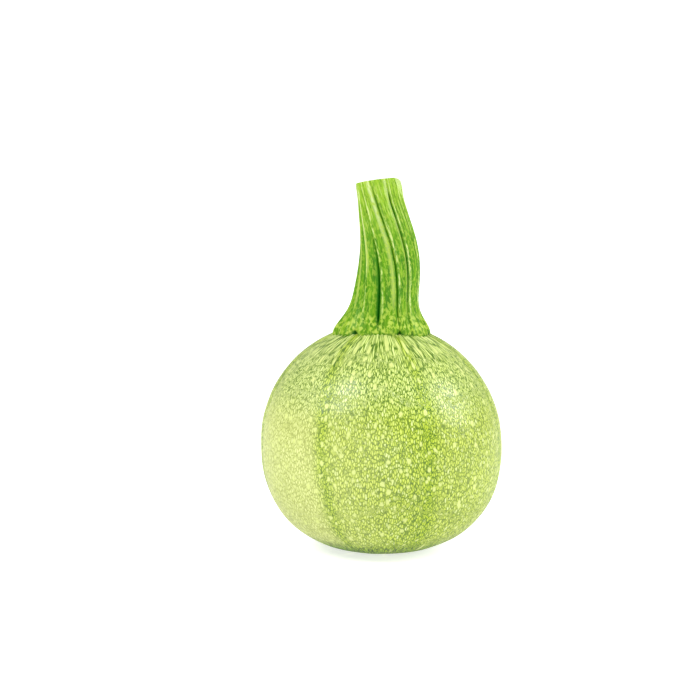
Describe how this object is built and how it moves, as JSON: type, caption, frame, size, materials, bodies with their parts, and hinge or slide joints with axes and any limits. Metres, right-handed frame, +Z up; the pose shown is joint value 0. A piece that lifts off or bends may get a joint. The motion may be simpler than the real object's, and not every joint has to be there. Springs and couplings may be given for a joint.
{
  "type": "round zucchini",
  "caption": "Near-spherical pale green summer squash standing on its flattened blossom end, with a tall furrowed, twisted cut stem that spreads over the shoulder.",
  "frame": {"origin": "on the surface the fruit stands on, under the middle of the fruit", "axes": "+Z up from the blossom end to the stem, -Y towards the side seen in the picture, +X to the right in it"},
  "size_m": [0.0848, 0.0846, 0.1311],
  "materials": {
    "skin": "satin waxy skin, pale yellow-green with a fine darker net, cream flecks and darker stripes from stem to blossom end",
    "stem": "fresh green, ridged, with pale yellow-green lines along the ridges and darker furrows"
  },
  "bodies": {
    "root": {"fruit": "skin", "stem": "stem"}
  },
  "joints": []
}
